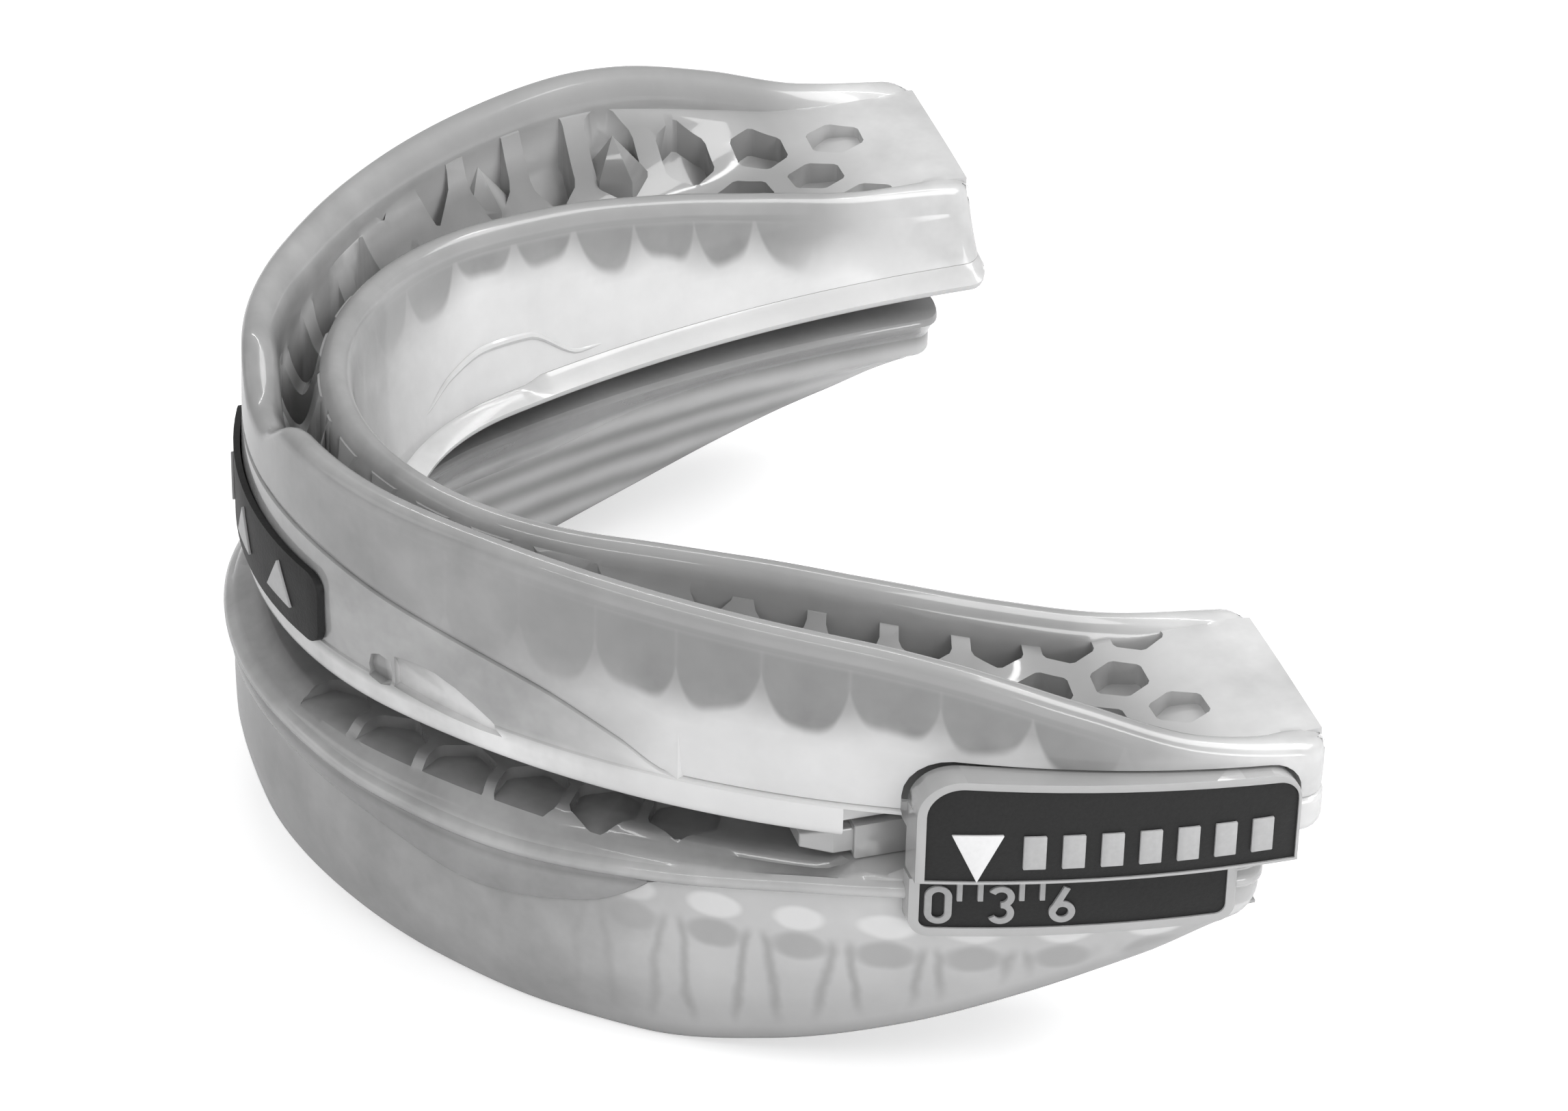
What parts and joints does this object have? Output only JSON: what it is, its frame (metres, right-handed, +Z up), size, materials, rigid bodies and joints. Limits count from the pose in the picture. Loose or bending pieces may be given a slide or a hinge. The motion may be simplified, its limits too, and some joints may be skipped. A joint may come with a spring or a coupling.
{
  "type": "adjustable two-tray mouthguard",
  "caption": "Clear U-shaped bite trays, upper and lower, joined by slide rails; side squeeze tabs free the lower tray to step forward along a scale.",
  "frame": {"origin": "middle of the footprint, at the height of the lowest rim", "axes": "+X to the wearer's left, -Y towards the front teeth, +Z up"},
  "size_m": [0.0712, 0.048, 0.0276],
  "materials": {
    "clear_frame": "clear hard plastic, polished",
    "frosted_liner": "frosted clear thermoplastic lining",
    "clear_rail": "clear hard plastic",
    "clear_spring": "clear springy plastic",
    "clear_rim": "clear hard plastic, polished",
    "dark_insert": "satin charcoal plastic",
    "light_mark": "satin light grey, raised"
  },
  "bodies": {
    "upper_tray": {"upper_frame": "clear_frame", "upper_liner": "frosted_liner", "front_tag": "dark_insert", "tag_mark": "light_mark", "tab_spring_left": "clear_spring", "tab_spring_right": "clear_spring"},
    "rail_left": {"slide_rail_left": "clear_rail"},
    "rail_right": {"slide_rail_right": "clear_rail"},
    "lower_tray": {"lower_frame": "clear_frame", "lower_liner": "frosted_liner", "scale_holder_left": "clear_rim", "scale_holder_right": "clear_rim", "scale_plate_left": "dark_insert", "scale_plate_right": "dark_insert", "scale_marks_left": "light_mark", "scale_marks_right": "light_mark"},
    "tab_left": {"squeeze_tab_left": "clear_rim", "pawl_left": "clear_rail", "tab_inlay_left": "dark_insert", "tab_arrow_left": "light_mark", "tab_grip_left": "light_mark"},
    "tab_right": {"squeeze_tab_right": "clear_rim", "pawl_right": "clear_rail", "tab_inlay_right": "dark_insert", "tab_arrow_right": "light_mark", "tab_grip_right": "light_mark"}
  },
  "joints": [
    {"name": "advance", "type": "slide", "parent": "upper_tray", "child": "rail_left", "axis": [0, -1, 0], "range_m": [-0.0015, 0.0045], "deforming": ["pawl_left", "pawl_right"]},
    {"name": "advance_right", "type": "slide", "parent": "upper_tray", "child": "rail_right", "axis": [0, -1, 0], "range_m": [-0.0015, 0.0045]},
    {"name": "side_shift", "type": "slide", "parent": "rail_left", "child": "lower_tray", "axis": [1, 0, 0], "range_m": [-0.0015, 0.0015]},
    {"name": "squeeze_left", "type": "slide", "parent": "upper_tray", "child": "tab_left", "axis": [-1, 0, 0], "range_m": [0, 0.001], "stiffness_N_per_m": 400, "deforming": ["tab_spring_left"]},
    {"name": "squeeze_right", "type": "slide", "parent": "upper_tray", "child": "tab_right", "axis": [1, 0, 0], "range_m": [0, 0.001], "stiffness_N_per_m": 400, "deforming": ["tab_spring_right"]}
  ],
  "couplings": [
    {"joint": "advance_right", "follows": "advance", "ratio": 1}
  ]
}
